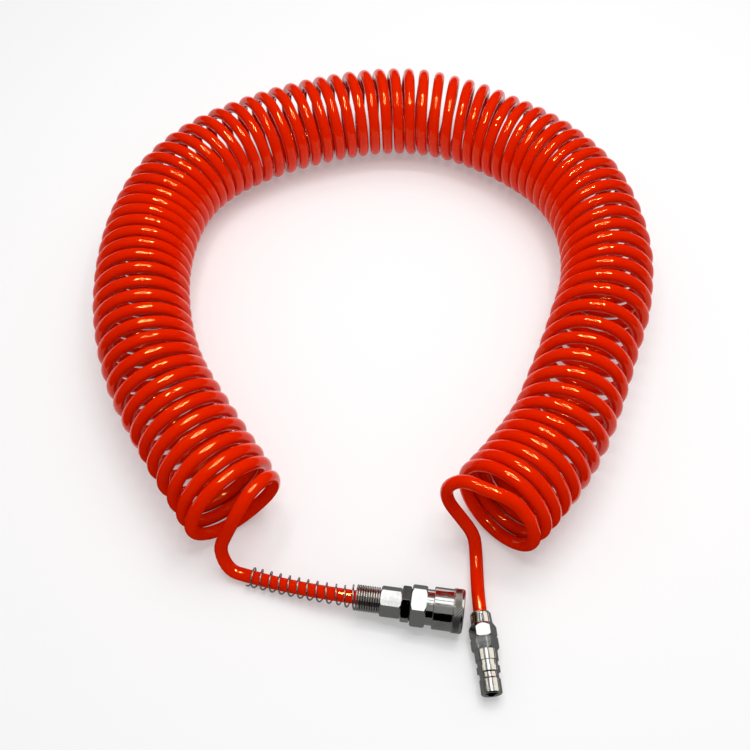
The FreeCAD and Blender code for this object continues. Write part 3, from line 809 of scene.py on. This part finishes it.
def make_studio(hose_alone, other_pieces):
    """The table, and the cards with the pieces that mirror each of them."""
    reach = TABLE_REACH
    flat_card("table", level(-reach, reach, -reach, reach, TABLE_HEIGHT), floor_material())
    left, right, front, back, top = ROOM
    # Painted shade: the table near the pieces, as the metal mirrors it
    table_shade_corners = level(left, right, front, FOREGROUND_BACK, TABLE_HEIGHT + FOREGROUND_LIFT)
    for name, corners, colour in (
            ("grey_ceiling", level(*ROOM), GREY),
            ("black_front", upright((left, front), (right, front), 0, top), BLACK),
            ("dark_back", upright((right, back), (left, back), 0, top), DARK),
            ("dark_left", upright((left, back), (left, front), 0, top), DARK),
            ("dark_right", upright((right, front), (right, back), 0, top), DARK),
            ("white_middle", level(*MIDDLE_CARD), WHITE),
            ("cream_left", leaning(*LEFT_CARD, LEANING_FRONT, LEANING_BACK), CREAM),
            ("cream_right", leaning(*RIGHT_CARD, LEANING_FRONT, LEANING_BACK), CREAM),
            ("grey_foreground", table_shade_corners, SHADE)):
        mirrored_card(name, corners, colour, other_pieces)
    low, high, half = LAMP_FRAME_LOW, LAMP_FRAME_HIGH, SHINE_WIDTH / 2
    under_lamps = low.z - MM
    for name, corners in (
            ("shine_near", level(low.x, high.x, low.y - half, low.y + half, under_lamps)),
            ("shine_far", level(low.x, high.x, high.y - half, high.y + half, under_lamps)),
            ("shine_left", level(low.x - half, low.x + half, low.y, high.y, under_lamps)),
            ("shine_right", level(high.x - half, high.x + half, low.y, high.y, under_lamps))):
        mirrored_card(name, corners, STRIP_SHINE, hose_alone)


def make_world():
    """A white world that lights the pieces less than it shows."""
    world = bpy.data.worlds.new("studio")
    bpy.context.scene.world = world
    world.use_nodes = True
    nodes, links = world.node_tree.nodes, world.node_tree.links
    light = nodes["Background"]
    light.inputs["Color"].default_value = (1, 1, 1, 1)
    light.inputs["Strength"].default_value = WORLD_LIGHT
    white = nodes.new("ShaderNodeBackground")
    white.inputs["Color"].default_value = (1, 1, 1, 1)
    white.inputs["Strength"].default_value = WORLD_SEEN
    mix = nodes.new("ShaderNodeMixShader")
    links.new(seen_rays(nodes, links), mix.inputs["Fac"])
    links.new(light.outputs["Background"], mix.inputs[1])
    links.new(white.outputs["Background"], mix.inputs[2])
    links.new(mix.outputs["Shader"], nodes["World Output"].inputs["Surface"])


def collect(name, pieces):
    """A collection that only tells cards what mirrors them."""
    collected = bpy.data.collections.new(name)
    for piece in pieces:
        collected.objects.link(piece)
    return collected


# The plug's heading in degrees, from the socket's axis
PLUG_HEADING = 102.7
# Front, back, inner and outer radius in millimetres of the nut's spigot and of the knurl's troughs,
# which begin at a share of the knurl's depth
# Both get painted shade: a darker metal in place of the shade that falls into these narrow recesses
TROUGH_SHARE = 0.55
SPIGOT = (48.8, 61.3, 4.0, 6.6)
TROUGHS = (KNURL_FRONT, KNURL_BACK, KNURL_RADIUS - KNURL_DEPTH,
           KNURL_RADIUS - TROUGH_SHARE * KNURL_DEPTH)

make_camera()
rings = turning_marks_group()
marks = handling_marks_group()
grain = grain_group()
socket_plating = metal_material("nickel_plating_socket", rings, marks, *NICKEL)
plug_plating = metal_material("nickel_plating_plug", rings, marks, *NICKEL, heading=PLUG_HEADING)
wire_metal = metal_material("bright_spring_wire", rings, marks, *BRIGHT_WIRE)
ring_metal = metal_material("dark_ring_steel", rings, marks, *DARK_STEEL)
# Dark metal that paints the shade in the nut's spigot and the knurl's troughs
recess_shade_metal = metal_material("painted_recess_shade", rings, marks, *RECESS_SHADE_STEEL)
ball_metal = metal_material("ball_steel", rings, marks, *BALL_STEEL, relief=0.0)
brass = metal_material("turned_brass", rings, marks, *BRASS, relief=0.25)
rubber = rubber_material(grain)

for node in ("socket_body", "socket_rear_adapter"):
    dress(soften(node), socket_plating)
nut = soften("socket_hose_nut")
dress(nut, socket_plating)
# Painted shade on the spigot, seen in the gaps between the collar's windings
paint_recess_shade(nut, recess_shade_metal, *SPIGOT)
plug_pieces = [soften(node) for node in ("plug_body", "plug_hose_nut")]
for piece in plug_pieces:
    dress(piece, plug_plating)
sleeve = make_sleeve()
dress(sleeve, socket_plating)
# Painted shade in the knurl's troughs
paint_recess_shade(sleeve, recess_shade_metal, *TROUGHS)
hose = make_hose()
dress(hose, hose_material(grain, marks))
dress(make_guard_spring(), wire_metal)
dress(make_spring("sleeve_spring", "sleeve_slide", *SLEEVE_SPRING, keep=0.44), wire_metal)
dress(make_spring("valve_spring", "valve_slide", *VALVE_SPRING, keep=0.365), wire_metal)
dress(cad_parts["sleeve_retaining_ring"], ring_metal)
dress(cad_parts["valve_poppet"], brass)
for number in range(1, 7):
    dress(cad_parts[f"lock_ball_{number}"], ball_metal)
for node in ("adapter_gasket", "plug_seal_ring", "valve_seal_ring"):
    dress(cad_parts[node], rubber)
make_lamps()
other_pieces = [piece for piece in bpy.data.objects
                if piece.type in ("MESH", "CURVE") and piece != hose]
make_studio(collect("hose_alone", [hose]), collect("other_pieces", other_pieces))
make_world()
bpy.context.scene.view_settings.view_transform = "Standard"
